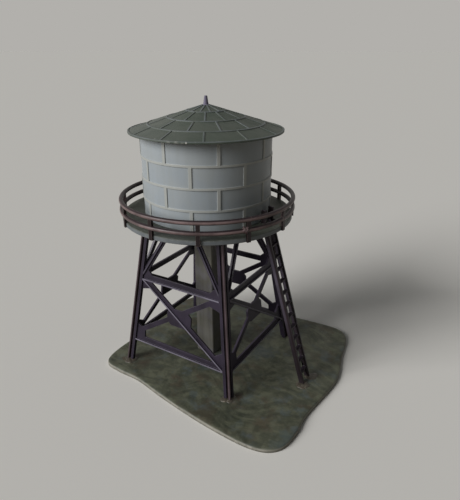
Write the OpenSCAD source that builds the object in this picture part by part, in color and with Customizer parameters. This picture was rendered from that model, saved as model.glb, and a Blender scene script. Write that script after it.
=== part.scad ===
// Model water tower for a railway layout: a plated tank under a conical roof,
// on a braced four-legged tower with a railed deck, a boxed riser and a step ladder.
// The origin is on the tower's axis, at the underside of the ground plate, with +Z up.
// The front is -Y and the ladder stands on the +X side. Lengths are in millimetres.

/* [Ground plate] */
// Thickness of the ground plate
ground_t = 1.8; // [1.5:0.1:4]
// Ground left of the left-hand legs
ground_left = 12; // [8:0.5:24]
// Ground in front of the front legs
ground_front = 23; // [16:0.5:32]
// Ground behind the back legs
ground_back = 26; // [16:0.5:32]
// Ground to the right of the ladder's foot
ground_right = 16; // [10:0.5:24]

/* [Tower] */
// Distance between neighbouring legs at the ground
foot_span = 70.4; // [64:0.1:80]
// Distance between neighbouring legs under the deck
head_span = 48; // [42:0.1:54]
// Height from the ground plate's top to the deck's underside
tower_h = 88.2; // [76:0.1:110]

/* [Legs] */
// Distance from a leg's line to the faces that carry the side frames
leg_seat = 1.2; // [1:0.05:1.8]
// Distance from a leg's line to its set-back outer faces
leg_face = 0.3; // [0.1:0.05:0.5]
// Diameter of the round bead on the outer corner
bead_d = 1.5; // [1.3:0.05:2]
// Distance from a leg's line out to the bead's centre
bead_out = 0.8; // [0.7:0.05:1]
// Diameter of the pegs at both ends of a leg
peg_d = 1.2; // [0.8:0.05:1.3]
// Length of the pegs
peg_l = 1; // [0.6:0.1:1.2]

/* [Side frames] */
// Thickness of a side frame over its raised edges
frame_t = 2; // [1.6:0.1:2.3]
// Thickness of its flat bars and plates
web_t = 1.1; // [0.8:0.1:1.4]
// Width of the stiles that stand against the legs
stile_w = 1.7; // [1.4:0.1:2.6]
// Depth of the level struts
strut_w = 3.4; // [2.6:0.1:4.2]
// Height of the lower strut's bottom edge above the ground plate
low_strut_z = 14.6; // [10:0.1:20]
// Height of the upper strut's bottom edge above the ground plate
high_strut_z = 53.2; // [46:0.1:60]
// Width of the diagonal braces
brace_w = 2.8; // [2.2:0.1:3.6]
// Width of the raised edge along struts and braces
edge_w = 0.8; // [0.6:0.1:1.2]
// Distance between the upper braces' centre lines under the deck
crown_gap = 11.5; // [8:0.1:15]
// Width of the plate where the braces cross
cross_plate_w = 16; // [12:0.5:20]
// Height of that plate
cross_plate_h = 10; // [8:0.5:13]
// Size of its cut corners
cross_plate_cut = 2.6; // [1:0.1:4]
// Length of a corner plate along its strut
gusset_w = 6.2; // [5:0.1:8]
// Length of a corner plate along its stile at the lower strut
gusset_h = 8; // [6:0.1:10]
// The same at the upper strut
high_gusset_h = 6; // [5:0.1:9]
// Length of a corner plate's free edge, but over the upper strut, where the plate is a triangle
gusset_lip = 4; // [2:0.1:4.8]

/* [Riser casing] */
// Width of the square casing round the riser
riser_w = 12; // [9:0.1:16]
// Thickness of its walls
riser_wall = 1.2; // [0.9:0.1:2]
// Bevel on its four edges
riser_bevel = 0.5; // [0.2:0.1:0.8]
// Height of the square blocks that hold its ends
riser_block_h = 1.6; // [1:0.1:3]

/* [Deck] */
// Diameter of the deck
deck_d = 92; // [86:0.2:100]
// Thickness of the deck
deck_t = 2.4; // [1.9:0.1:4]
// Bevel round the deck's edges
deck_bevel = 0.3; // [0.1:0.1:0.6]
// Height of the ring that holds the tank
tank_ring_h = 1.6; // [1:0.1:3]
// Thickness of that ring
tank_ring_t = 1.4; // [1:0.1:2.5]

/* [Railing] */
// Posts in one half of the railing
half_posts = 6; // [4:1:9]
// Turn of the railing's joint from the ladder side
rail_turn = -32; // [-60:1:0]
// Width of a post round the rim
post_w = 2; // [1.2:0.1:2.4]
// Thickness of a post, measured out from the axis
post_t = 1.5; // [1:0.1:2]
// Depth of the notches that hold the posts in the deck's rim
notch_d = 0.6; // [0.4:0.1:1]
// Diameter of the rails
rail_d = 2.3; // [1.2:0.1:2.6]
// Height of the middle rail's centre above the deck
mid_rail_h = 3.7; // [2.6:0.1:5]
// Height of the top rail's centre above the deck
top_rail_h = 8.9; // [7:0.1:14]

/* [Tank] */
// Diameter of the tank over its plates
tank_d = 68; // [62:0.2:72]
// Thickness of the tank's wall
tank_wall = 1.6; // [1.2:0.1:2.4]
// Height of the tank
tank_h = 42.5; // [40:0.1:56]
// Height of a full course of plates
course_h = 10.8; // [9:0.1:13]
// Plates in one course
course_plates = 8; // [6:1:12]
// Turn of the top course's first seam
seam_turn = -2; // [-20:1:20]
// Height of the level seam straps
band_w = 1.1; // [0.8:0.1:1.6]
// Width of the upright seam straps
strap_w = 1.6; // [1:0.1:2]
// Height of all straps above the plates
strap_h = 0.35; // [0.2:0.05:0.5]

/* [Roof] */
// Diameter of the roof
roof_d = 80; // [76:0.2:88]
// Height of the roof's cone
roof_rise = 12.4; // [8:0.1:20]
// Thickness of the roof, measured upright
roof_t = 1.3; // [1:0.1:2]
// Thickness of the roof's edge
eave_t = 0.8; // [0.6:0.1:0.9]
// Height of the seat between the tank's top and the cone
seat_h = 1.7; // [1.2:0.1:3]
// Depth of the rim that drops into the tank
spigot_l = 3; // [2:0.1:6]
// Thickness of that rim
spigot_t = 1.3; // [1:0.1:2]
// Rings of roof plates
roof_rings = 4; // [3:1:5]
// Plates in one ring
ring_plates = 12; // [8:1:16]
// Turn of the outer ring's first seam
roof_turn = 2; // [-15:1:15]
// Width of the ribs over the seams
rib_w = 0.8; // [0.6:0.1:1.2]
// Height of the ribs round the roof
rib_h = 0.3; // [0.2:0.05:0.5]
// Height by which those stand over the ribs along the slope
rib_lap = 0.05; // [0.05:0.05:0.1]

/* [Finial] */
// Diameter of the finial's peg
finial_peg_d = 2; // [1.6:0.1:2.4]
// Diameter of its skirt
finial_skirt_d = 3.8; // [3.4:0.1:5]
// Height of the skirt
finial_skirt_h = 0.2; // [0.1:0.1:1]
// Diameter at the foot of the spike
spike_foot_d = 2.7; // [2:0.1:3.4]
// Diameter at the spike's tip
spike_tip_d = 1.5; // [0.8:0.1:1.6]
// Height of the spike above the skirt
spike_h = 4.1; // [3:0.1:8]

/* [Ladder] */
// Distance from the tower's axis to the middle of the ladder's foot
ladder_foot = 63.3; // [58:0.1:76]
// Distance of the ladder's middle from the XZ plane
ladder_y = 0.5; // [-6:0.1:6]
// Width over the stringers
ladder_w = 8.8; // [7:0.1:11]
// Thickness of a stringer
stringer_t = 1.2; // [1:0.1:2]
// Level depth of a stringer
stringer_d = 2.9; // [2.2:0.1:3.6]
// Height of the handholds above the deck
handhold_h = 6.8; // [4:0.1:10]
// Rise from tread to tread
tread_rise = 6.5; // [5:0.1:8]
// Depth of a tread
tread_d = 2.3; // [1.6:0.1:2.8]
// Thickness of a tread
tread_t = 0.9; // [0.7:0.1:1.4]
// Gap between the ladder's head and the tank's straps
ladder_gap = 0.6; // [0.4:0.1:1]

/* [Clearances] */
// Gap round pegs, blocks and rings that are glued in
glue_gap = 0.1; // [0.05:0.05:0.2]
// Gap round the roof's rim, which lifts out
lift_gap = 0.3; // [0.2:0.05:0.5]
// Gap round the ladder in the deck's hatch
hatch_gap = 0.3; // [0.2:0.05:0.4]

/* [Hidden] */
$fn = 96;

// Length by which cutters run past what they cut
over = 2;
// Depth by which joined shapes reach into each other
sink = 0.3;

// Tower: half spans, the lean of its sides and the lean of its corner lines
foot_c = foot_span / 2;
head_c = head_span / 2;
batter = atan((foot_c - head_c) / tower_h);
leg_lean = atan(sqrt(2) * tan(batter));
seat_angle = asin(cos(batter) / sqrt(2));
deck_z = ground_t + tower_h;
deck_top = deck_z + deck_t;

// Side frames: measured up their own slope
slope_l = tower_h / cos(batter);
stile_run = (foot_c - head_c) / slope_l;
stile_tilt = atan(stile_run);
low_v = low_strut_z / cos(batter);
high_v = high_strut_z / cos(batter);

// Middle of a leg's core, measured out from the leg's line
core_mid = (leg_face / cos(seat_angle) - leg_seat / sin(seat_angle)) / 2 / cos(leg_lean);

// Deck and railing
deck_r = deck_d / 2;
post_in = deck_r - notch_d;
rail_r = post_in + post_t / 2;
post_step = 180 / half_posts;
post_half_angle = asin(post_w / 2 / rail_r);

// Tank and roof
tank_r = tank_d / 2;
bore_r = tank_r - tank_wall;
tank_top = deck_top + tank_h;
courses = ceil(tank_h / course_h);
roof_r = roof_d / 2;
roof_fall = roof_rise / roof_r;
roof_tilt = atan(roof_fall);
ring_w = roof_r / roof_rings;
finial_hole_r = finial_peg_d / 2 + glue_gap;

// Ladder
ladder_head = tank_r + strap_h + ladder_gap;
ladder_toe = ladder_foot - stringer_d / 2;

// Height of the roof's upper and lower cone at a radius
function roof_z(r) = tank_top + seat_h + roof_t + roof_fall * (tank_r - r);
function ceiling_z(r) = roof_z(r) - roof_t;

// Ladder's face towards the tower, at a height
function ladder_x(z) = ladder_head + (ladder_toe - ladder_head) * (deck_top - z) / (deck_top - ground_t);

// Place across a side frame of a line at a distance inside the leg's line
function stile_u(v, inside) = foot_c - stile_run * v - inside / cos(stile_tilt);
function bay_u(v) = stile_u(v, leg_seat + stile_w);
function stile_mid(v) = stile_u(v, leg_seat + stile_w / 2);

// Point of a smooth curve between the second and third of four points
function curve_point(a, b, c, d, t) =
    (2 * b + (c - a) * t + (2 * a - 5 * b + 4 * c - d) * t ^ 2 + (3 * b - a - 3 * c + d) * t ^ 3) / 2;

// Closed smooth curve through points, with equal steps between neighbours
function smooth_loop(points, steps) = [
    for (i = [0:len(points) - 1], s = [0:steps - 1])
        let (n = len(points))
        curve_point(points[(i + n - 1) % n], points[i], points[(i + 1) % n], points[(i + 2) % n], s / steps)
];

// Bends of the ground plate's edge, each a little in or out from the four sides
left_x = -foot_c - ground_left;
front_y = -foot_c - ground_front;
back_y = foot_c + ground_back;
right_x = ladder_foot + ground_right;
ground_bends = [
    [left_x + 2, front_y + 14.5], [left_x + 13, front_y + 11.5], [left_x + 29, front_y + 11],
    [4, front_y + 6.5], [34, front_y + 2], [right_x - 19, front_y + 1], [right_x - 7, front_y + 7],
    [right_x - 4, front_y + 20], [right_x - 4.5, front_y + 34], [right_x - 1, 2], [right_x - 1, 15],
    [right_x - 5.5, back_y - 27], [right_x - 8, back_y - 12], [right_x - 13, back_y - 3],
    [right_x - 25, back_y], [22, back_y - 3], [-16, back_y - 7.5], [left_x + 5, back_y - 10.5],
    [left_x - 3, back_y - 33.5], [left_x, -6], [left_x - 1, -30]
];
bend_steps = 6;

// Shared shapes

// Square block on its underside, centred on the axis
module square_block(width, height) {
    translate([-width / 2, -width / 2, 0])
        cube([width, width, height]);
}

// Ring on its underside
module ring(outer_r, inner_r, height) {
    difference() {
        cylinder(r = outer_r, h = height);
        translate([0, 0, -over])
            cylinder(r = inner_r, h = height + 2 * over);
    }
}

// Flat bar along the line from p to q, centred on it
module bar(p, q, width) {
    translate(p)
        rotate(atan2(q.y - p.y, q.x - p.x))
            translate([0, -width / 2])
                square([norm(q - p), width]);
}

// Flat strip on the upper side of the line from p, on the left, to q, a little past both ends
module strip(p, q, width) {
    translate(p)
        rotate(atan2(q.y - p.y, q.x - p.x))
            translate([-sink, 0])
                square([norm(q - p) + 2 * sink, width]);
}

// Level space between the ground plate and the deck, wide enough for the tower
module tower_space() {
    translate([0, 0, ground_t])
        square_block(2 * foot_span, tower_h);
}

// Puts a drawing on one side of the tower, with its Y axis up the slope and Z outwards
module on_side(side) {
    rotate([0, 0, 90 * side])
        translate([0, -foot_c, ground_t])
            rotate([90 - batter, 0, 0])
                children();
}

// Puts a drawing at a corner of the tower, with X outwards
module at_corner(corner, out) {
    rotate([0, 0, 90 * corner - 45])
        translate([out * sqrt(2), 0, 0])
            children();
}

// Puts a drawing at every post of one half of the railing, with X outwards
module at_posts(half) {
    for (post = [1:half_posts])
        rotate([0, 0, rail_turn + 180 * half + post * post_step])
            children();
}

// Ground plate

module ground_plate() {
    color("#5d6152")
    difference() {
        union() {
            linear_extrude(ground_t)
                polygon(smooth_loop(ground_bends, bend_steps));
            translate([0, 0, ground_t - sink])
                square_block(riser_w - 2 * riser_wall - 2 * glue_gap, riser_block_h + sink);
        }
        for (corner = [0:3])
            at_corner(corner, foot_c)
                translate([core_mid, 0, ground_t - peg_l - glue_gap])
                    cylinder(d = peg_d + 2 * glue_gap, h = peg_l + over);
    }
}

// Legs

// Section of a leg, square to its length: a core between two frames and a bead outside
module leg_section() {
    side = leg_seat * [-sin(seat_angle), cos(seat_angle)] + leg_face * [cos(seat_angle), sin(seat_angle)];
    polygon([
        [leg_face / cos(seat_angle), 0],
        side,
        [-leg_seat / sin(seat_angle), 0],
        [side.x, -side.y]
    ]);
    translate([bead_out, 0])
        circle(d = bead_d);
}

module leg(corner) {
    color("#3b2d33") {
        intersection() {
            at_corner(corner, foot_c)
                translate([0, 0, ground_t])
                    rotate([0, -leg_lean, 0])
                        translate([0, 0, -over])
                            linear_extrude(tower_h / cos(leg_lean) + 2 * over)
                                leg_section();
            tower_space();
        }
        at_corner(corner, foot_c)
            translate([core_mid, 0, ground_t - peg_l])
                cylinder(d = peg_d, h = peg_l + sink);
        at_corner(corner, head_c)
            translate([core_mid, 0, deck_z - sink])
                cylinder(d = peg_d, h = peg_l + sink);
    }
}

// Side frames

// Right-hand stile, along the leg's seat
module stile() {
    low = -over;
    high = slope_l + over;
    polygon([
        [bay_u(low), low], [stile_u(low, leg_seat), low],
        [stile_u(high, leg_seat), high], [bay_u(high), high]
    ]);
}

// Space between the middles of the two stiles, where struts, braces and plates end
module between_stiles() {
    low = -over;
    high = slope_l + over;
    polygon([
        [-stile_mid(low), low], [stile_mid(low), low],
        [stile_mid(high), high], [-stile_mid(high), high]
    ]);
}

// Level strip
module strut(v, width) {
    translate([-foot_c, v])
        square([foot_span, width]);
}

// Plate in the corner of a strut and the right-hand stile, above the strut or below it
module gusset(v, up, height, lip) {
    root = v - up * sink;
    tip = v + up * height;
    lip_u = bay_u(v) - gusset_w;
    polygon([
        [foot_c, root], [lip_u, root], [lip_u, v + up * lip], [stile_mid(tip), tip], [foot_c, tip]
    ]);
}

// Plate over the crossing of the braces
module cross_plate() {
    low = low_v + strut_w / 2;
    rise = high_v - low;
    crossing = low + rise * bay_u(low) / (bay_u(low) + bay_u(high_v));
    w = cross_plate_w / 2;
    h = cross_plate_h / 2;
    cut = cross_plate_cut;
    translate([0, crossing])
        polygon([
            [w - cut, -h], [w, cut - h], [w, h - cut], [w - cut, h],
            [cut - w, h], [-w, h - cut], [-w, cut - h], [cut - w, -h]
        ]);
}

// Front brace's lower edge, from the upper left to the lower right
front_brace = [[-bay_u(high_v), high_v], [bay_u(low_v), low_v]];
// Back brace's lower edge, from the lower left to the upper right
back_brace = [[-bay_u(low_v + strut_w), low_v + strut_w], [bay_u(high_v), high_v]];
// Right-hand upper brace's centre line, from the crown down
crown_brace = [[crown_gap / 2, slope_l], [bay_u(high_v + strut_w), high_v + strut_w]];

module frame_bars() {
    strut(low_v, strut_w);
    strut(high_v, strut_w);
    strut(slope_l - strut_w, strut_w + over);
    strip(front_brace[0], front_brace[1], brace_w);
    strip(back_brace[0], back_brace[1], brace_w);
    cross_plate();
    for (hand = [0, 1])
        mirror([hand, 0]) {
            bar(crown_brace[0], crown_brace[1], brace_w);
            gusset(low_v + strut_w, 1, gusset_h, gusset_lip);
            gusset(high_v, -1, high_gusset_h, gusset_lip);
            gusset(high_v + strut_w, 1, high_gusset_h, 0);
        }
}

module frame_edges() {
    strut(low_v, edge_w);
    strut(high_v, edge_w);
    strip(front_brace[0], front_brace[1], edge_w);
    for (hand = [0, 1])
        mirror([hand, 0])
            bar(crown_brace[0], crown_brace[1], edge_w);
}

module side_frame(side) {
    color("#3b2d33")
    intersection() {
        on_side(side)
            translate([0, 0, -frame_t / 2]) {
                linear_extrude(web_t)
                    intersection() {
                        frame_bars();
                        between_stiles();
                    }
                linear_extrude(frame_t)
                    intersection() {
                        frame_edges();
                        between_stiles();
                    }
                linear_extrude(frame_t)
                    for (hand = [0, 1])
                        mirror([hand, 0])
                            stile();
            }
        tower_space();
    }
}

// Riser casing

module riser_section() {
    half = riser_w / 2;
    b = riser_bevel;
    polygon([
        [half - b, -half], [half, b - half], [half, half - b], [half - b, half],
        [b - half, half], [-half, half - b], [-half, b - half], [b - half, -half]
    ]);
}

module riser_casing() {
    color("#7b7c70")
    translate([0, 0, ground_t])
        linear_extrude(tower_h)
            difference() {
                riser_section();
                square(riser_w - 2 * riser_wall, center = true);
            }
}

// Deck

module deck_hatch() {
    from = ladder_head - hatch_gap;
    to = ladder_x(deck_z) + stringer_d + hatch_gap;
    width = ladder_w + 2 * hatch_gap;
    translate([from, ladder_y - width / 2, deck_z - over])
        cube([to - from, width, deck_t + 2 * over]);
}

// Cutter for the notch that holds one post
module post_notch() {
    width = post_w + 2 * glue_gap;
    translate([post_in - glue_gap, -width / 2, deck_z - over])
        cube([post_t + over, width, deck_t + 2 * over]);
}

module deck() {
    color("#55584c")
    difference() {
        union() {
            rotate_extrude()
                polygon([
                    [0, deck_z], [deck_r - deck_bevel, deck_z], [deck_r, deck_z + deck_bevel],
                    [deck_r, deck_top - deck_bevel], [deck_r - deck_bevel, deck_top], [0, deck_top]
                ]);
            translate([0, 0, deck_top - sink])
                ring(bore_r - glue_gap, bore_r - glue_gap - tank_ring_t, tank_ring_h + sink);
            translate([0, 0, deck_z - riser_block_h])
                square_block(riser_w - 2 * riser_wall - 2 * glue_gap, riser_block_h + sink);
        }
        deck_hatch();
        for (half = [0, 1])
            at_posts(half)
                post_notch();
        for (corner = [0:3])
            at_corner(corner, head_c)
                translate([core_mid, 0, deck_z - over])
                    cylinder(d = peg_d + 2 * glue_gap, h = peg_l + glue_gap + over);
    }
}

// Railing

// Rail of one half, short of its neighbour by the glue gap
module half_rail(height) {
    gap_angle = asin(glue_gap / rail_r);
    rotate([0, 0, post_half_angle + gap_angle])
        rotate_extrude(angle = 180 - gap_angle)
            translate([rail_r, height])
                circle(d = rail_d, $fn = 24);
}

// Post in its notch, from the deck's lower edge up into the top rail
module rail_post() {
    translate([post_in, -post_w / 2, deck_z])
        cube([post_t, post_w, deck_t + top_rail_h]);
}

module railing(half) {
    color("#4a3632") {
        rotate([0, 0, rail_turn + 180 * half]) {
            half_rail(deck_top + mid_rail_h);
            half_rail(deck_top + top_rail_h);
        }
        at_posts(half)
            rail_post();
    }
}

// Tank

// Upright straps of one course, counted down from the top
module course_straps(course) {
    top = tank_top - course * course_h;
    bottom = max(top - course_h, deck_top);
    translate([0, 0, bottom])
        linear_extrude(top - bottom)
            for (plate = [0:course_plates - 1])
                rotate(seam_turn + (plate + (course % 2) / 2) * 360 / course_plates)
                    translate([tank_r - sink, -strap_w / 2])
                        square([sink + strap_h, strap_w]);
}

module tank_shell() {
    color("#93968f")
    difference() {
        union() {
            translate([0, 0, deck_top])
                cylinder(r = tank_r, h = tank_h);
            for (course = [1:courses - 1])
                translate([0, 0, tank_top - course * course_h - band_w / 2])
                    cylinder(r = tank_r + strap_h, h = band_w);
            for (course = [0:courses - 1])
                course_straps(course);
        }
        translate([0, 0, deck_top - over])
            cylinder(r = bore_r, h = tank_h + 2 * over);
    }
}

// Roof

// Upper outline of the roof from the finial's hole to the eave, with a step at each ring rib
function roof_outline() = [
    [finial_hole_r, roof_z(finial_hole_r)],
    for (k = [1:roof_rings - 1])
        let (inner = k * ring_w - rib_w / 2, outer = k * ring_w + rib_w / 2)
        each [
            [inner, roof_z(inner)], [inner, roof_z(inner) + rib_h],
            [outer, roof_z(outer) + rib_h], [outer, roof_z(outer)]
        ],
    [roof_r - rib_w, roof_z(roof_r - rib_w)],
    [roof_r - rib_w, roof_z(roof_r - rib_w) + rib_h],
    [roof_r, roof_z(roof_r) + rib_h],
    [roof_r, roof_z(roof_r) + rib_h - eave_t]
];

// Rib along the slope, from one radius out to another
module slope_rib(from, to) {
    translate([from, 0, roof_z(from)])
        rotate([0, roof_tilt, 0])
            translate([0, -rib_w / 2, -sink])
                cube([(to - from) / cos(roof_tilt), rib_w, sink + rib_h - rib_lap]);
}

module roof() {
    spigot_r = bore_r - lift_gap;
    eave_in = roof_r - 2 * rib_w;
    color("#5a5f54") {
        rotate_extrude()
            polygon(concat(roof_outline(), [
                [eave_in, ceiling_z(eave_in)],
                [tank_r, ceiling_z(tank_r)], [tank_r, tank_top],
                [spigot_r, tank_top], [spigot_r, tank_top - spigot_l],
                [spigot_r - spigot_t, tank_top - spigot_l],
                [spigot_r - spigot_t, ceiling_z(spigot_r - spigot_t)],
                [finial_hole_r, ceiling_z(finial_hole_r)]
            ]));
        for (k = [0:roof_rings - 1], plate = [0:ring_plates - 1])
            rotate([0, 0, roof_turn + (plate + ((roof_rings - 1 - k) % 2) / 2) * 360 / ring_plates])
                slope_rib(max(k * ring_w, finial_skirt_d / 2 + glue_gap), (k + 1) * ring_w - rib_w / 4);
    }
}

// Finial

module finial() {
    peg_r = finial_peg_d / 2;
    skirt_r = finial_skirt_d / 2;
    skirt_top = roof_z(spike_foot_d / 2) + finial_skirt_h;
    color("#4d4650")
    rotate_extrude()
        polygon([
            [0, ceiling_z(finial_hole_r)], [peg_r, ceiling_z(finial_hole_r)], [peg_r, roof_z(peg_r)],
            [skirt_r, roof_z(skirt_r)], [spike_foot_d / 2, skirt_top],
            [spike_tip_d / 2, skirt_top + spike_h], [0, skirt_top + spike_h]
        ]);
}

// Ladder

module stringer() {
    rotate([90, 0, 0])
        linear_extrude(stringer_t)
            polygon([
                [ladder_toe, ground_t], [ladder_toe + stringer_d, ground_t],
                [ladder_head + stringer_d, deck_top], [ladder_head + stringer_d, deck_top + handhold_h],
                [ladder_head, deck_top + handhold_h], [ladder_head, deck_top]
            ]);
}

module tread(z) {
    translate([ladder_x(z) + (stringer_d - tread_d) / 2, -ladder_w / 2 + sink, z - tread_t / 2])
        cube([tread_d, ladder_w - 2 * sink, tread_t]);
}

module ladder() {
    color("#3f3137")
    translate([0, ladder_y, 0]) {
        translate([0, stringer_t - ladder_w / 2, 0])
            stringer();
        translate([0, ladder_w / 2, 0])
            stringer();
        for (z = [ground_t + tread_rise:tread_rise:deck_z - tread_t])
            tread(z);
    }
}

ground_plate();
leg(0);  // leg_front_right
leg(1);  // leg_back_right
leg(2);  // leg_back_left
leg(3);  // leg_front_left
side_frame(0);  // side_frame_front
side_frame(1);  // side_frame_right
side_frame(2);  // side_frame_back
side_frame(3);  // side_frame_left
riser_casing();
deck();
railing(1);  // railing_front
railing(0);  // railing_back
tank_shell();
roof();
finial();
ladder();
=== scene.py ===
# %% [markdown]
# # A model water tower
# The object is a small moulded plastic building for a model railway: a plated tank with a
# conical roof, on four leaning legs with lattice sides, standing on a scrap of ground.
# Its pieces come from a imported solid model, in metres, already in their places. What is left
# to do here is what the eye sees: soft moulded edges, a lumpy ground, dried glue, and the
# finish of every surface.

# %% Load the solid model
import math

import bmesh
import bpy
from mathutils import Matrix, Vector, geometry, kdtree, noise


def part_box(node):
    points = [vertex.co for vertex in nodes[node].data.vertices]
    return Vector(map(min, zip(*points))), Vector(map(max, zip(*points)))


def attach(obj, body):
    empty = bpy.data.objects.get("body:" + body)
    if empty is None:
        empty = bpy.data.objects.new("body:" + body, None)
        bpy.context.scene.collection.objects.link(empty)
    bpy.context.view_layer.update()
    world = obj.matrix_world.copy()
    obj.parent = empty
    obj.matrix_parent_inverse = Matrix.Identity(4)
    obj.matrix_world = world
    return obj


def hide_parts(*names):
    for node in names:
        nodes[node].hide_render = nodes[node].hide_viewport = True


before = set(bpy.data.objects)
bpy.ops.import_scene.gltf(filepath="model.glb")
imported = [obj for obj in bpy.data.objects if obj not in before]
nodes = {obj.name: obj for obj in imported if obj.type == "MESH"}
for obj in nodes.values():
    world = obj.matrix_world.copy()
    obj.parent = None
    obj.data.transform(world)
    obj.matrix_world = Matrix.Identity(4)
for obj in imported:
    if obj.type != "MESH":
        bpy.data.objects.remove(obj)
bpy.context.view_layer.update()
MM = 0.001

# %% [markdown]
# ## Where the eye stands
# A camera can be placed by hand until the picture looks right, but then nobody knows why it
# stands there. Here it is placed by facts that were worked out from the shape of the round
# rims and the slope of the legs: how far it is turned from the front and shifted to the side,
# how far away and how high it stands, and how much it looks down, in radians.

# %% Camera
PICTURE_TALL = 500
FOCAL_PIXELS = 463.3
SENSOR_WIDE = 36
CAMERA_TURN = math.radians(31.2)
CAMERA_DIP = 0.41
CAMERA_SIDE = 12.14 * MM
CAMERA_AWAY = 243.4 * MM
CAMERA_HIGH = 173.8 * MM
NEAREST_SEEN = 10 * MM

to_right = Vector((math.cos(CAMERA_TURN), math.sin(CAMERA_TURN), 0))
to_viewer = Vector((math.sin(CAMERA_TURN), -math.cos(CAMERA_TURN), 0))
camera = bpy.data.objects.new("camera", bpy.data.cameras.new("camera"))
bpy.context.scene.collection.objects.link(camera)
camera.location = to_right * CAMERA_SIDE + to_viewer * CAMERA_AWAY + Vector((0, 0, CAMERA_HIGH))
camera.rotation_euler = (math.pi / 2 - CAMERA_DIP, 0, CAMERA_TURN)
camera.data.sensor_width = SENSOR_WIDE
camera.data.lens = FOCAL_PIXELS * SENSOR_WIDE / PICTURE_TALL
camera.data.clip_start = NEAREST_SEEN
bpy.context.scene.camera = camera
print("camera at", [round(v / MM) for v in camera.location], "mm, lens", round(camera.data.lens, 1))

# %% [markdown]
# ## Small helpers for shader nodes
# Materials are built from nodes in code, and a few helpers keep that readable. One adds a node
# and feeds its sockets, with a number, a colour or another node's output. Others calculate,
# mix two colours, lay a tone over a colour by a mask, or make a soft step. Colours are written
# as the eye reads them on a screen and turned to linear light here.

# %% Node helpers
def colour(code):
    """Linear colour with alpha from a screen colour such as #a0a5a6."""
    parts = [int(code[i:i + 2], 16) / 255 for i in (1, 3, 5)]
    return [p / 12.92 if p <= 0.04045 else ((p + 0.055) / 1.055) ** 2.4 for p in parts] + [1]


def feed(tree, socket, value):
    """Give a socket a value, or link it to another node's output."""
    if isinstance(value, bpy.types.NodeSocket):
        tree.links.new(value, socket)
    else:
        socket.default_value = value


def add(tree, kind, inputs=(), **settings):
    """Add a shader node, set its options and feed its sockets by name or number."""
    made = tree.nodes.new("ShaderNode" + kind)
    for name, value in settings.items():
        setattr(made, name, value)
    for key, value in dict(inputs).items():
        feed(tree, made.inputs[key], value)
    return made


def calc(tree, operation, *values, clamp=False):
    """Output of a Math node."""
    return add(tree, "Math", enumerate(values), operation=operation, use_clamp=clamp).outputs[0]


def mix(tree, factor, first, second):
    """Colour between two colours."""
    return add(tree, "Mix", {0: factor, 6: first, 7: second}, data_type="RGBA").outputs[2]


def tint(tree, body, mask, strength, code):
    """A screen colour laid over a body colour, as much as the mask times the strength."""
    return mix(tree, calc(tree, "MULTIPLY", mask, strength), body, colour(code))


def ramp(tree, value, low, high):
    """Smooth step from 0 at low to 1 at high."""
    inputs = {"Value": value, "From Min": low, "From Max": high}
    return add(tree, "MapRange", inputs, interpolation_type="SMOOTHSTEP").outputs[0]


print("screen grey #808080 is", round(colour("#808080")[0], 3), "in linear light")

# %% [markdown]
# ## Stage and light
# The tower stands on a plain pale floor. One broad soft lamp on the viewer's left does most of
# the work, as a window would, and a weak sky fills the shadows. The level is plain: a surface
# that faces the lamp shows about the colour that its material names. A pale floor would throw
# so much light up that the shaded side went flat, so only the eye sees it pale: light that
# bounces meets a darker one.

# %% Floor
FLOOR_REACH = 30
FLOOR_CELLS = 8
FLOOR_DROP = 0.1 * MM

floor_mesh = bpy.data.meshes.new("floor")
floor_bm = bmesh.new()
bmesh.ops.create_grid(
    floor_bm, x_segments=FLOOR_CELLS, y_segments=FLOOR_CELLS, size=FLOOR_REACH)
floor_bm.to_mesh(floor_mesh)
floor_bm.free()
floor = bpy.data.objects.new("floor", floor_mesh)
floor.location.z = -FLOOR_DROP
bpy.context.scene.collection.objects.link(floor)


def seen_straight(tree):
    """1 for light that the eye sees directly, mirrored or through glass."""
    rays = add(tree, "LightPath").outputs
    either = calc(tree, "ADD", rays["Is Camera Ray"], rays["Is Glossy Ray"])
    return calc(tree, "ADD", either, rays["Is Transmission Ray"], clamp=True)


floor_finish = bpy.data.materials.new("pale_floor")
floor_finish.use_nodes = True
floor_tree = floor_finish.node_tree
floor_shader = floor_tree.nodes["Principled BSDF"]
floor_tone = mix(floor_tree, seen_straight(floor_tree), colour("#827a6c"), colour("#f6f3ed"))
feed(floor_tree, floor_shader.inputs["Base Color"], floor_tone)
floor_shader.inputs["Roughness"].default_value = 0.9
floor_shader.inputs["Specular IOR Level"].default_value = 0
floor_mesh.materials.append(floor_finish)
print("floor reaches", FLOOR_REACH, "m each way")

# %% Lamp and sky
LAMP_LEFT = 62
LAMP_UP = 26
LAMP_BREADTH = 36
LAMP_LEVEL = 0.92
SKY_LEVEL = 0.1

lamp_side = CAMERA_TURN - math.radians(LAMP_LEFT)
lamp_rise = math.radians(LAMP_UP)
lamp_from = Vector((
    math.sin(lamp_side) * math.cos(lamp_rise),
    -math.cos(lamp_side) * math.cos(lamp_rise),
    math.sin(lamp_rise),
))
lamp = bpy.data.objects.new("window_lamp", bpy.data.lights.new("window_lamp", "SUN"))
bpy.context.scene.collection.objects.link(lamp)
lamp.location = lamp_from
lamp.rotation_euler = lamp_from.to_track_quat("Z", "Y").to_euler()
lamp.data.angle = math.radians(LAMP_BREADTH)
lamp.data.energy = LAMP_LEVEL * math.pi

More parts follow.
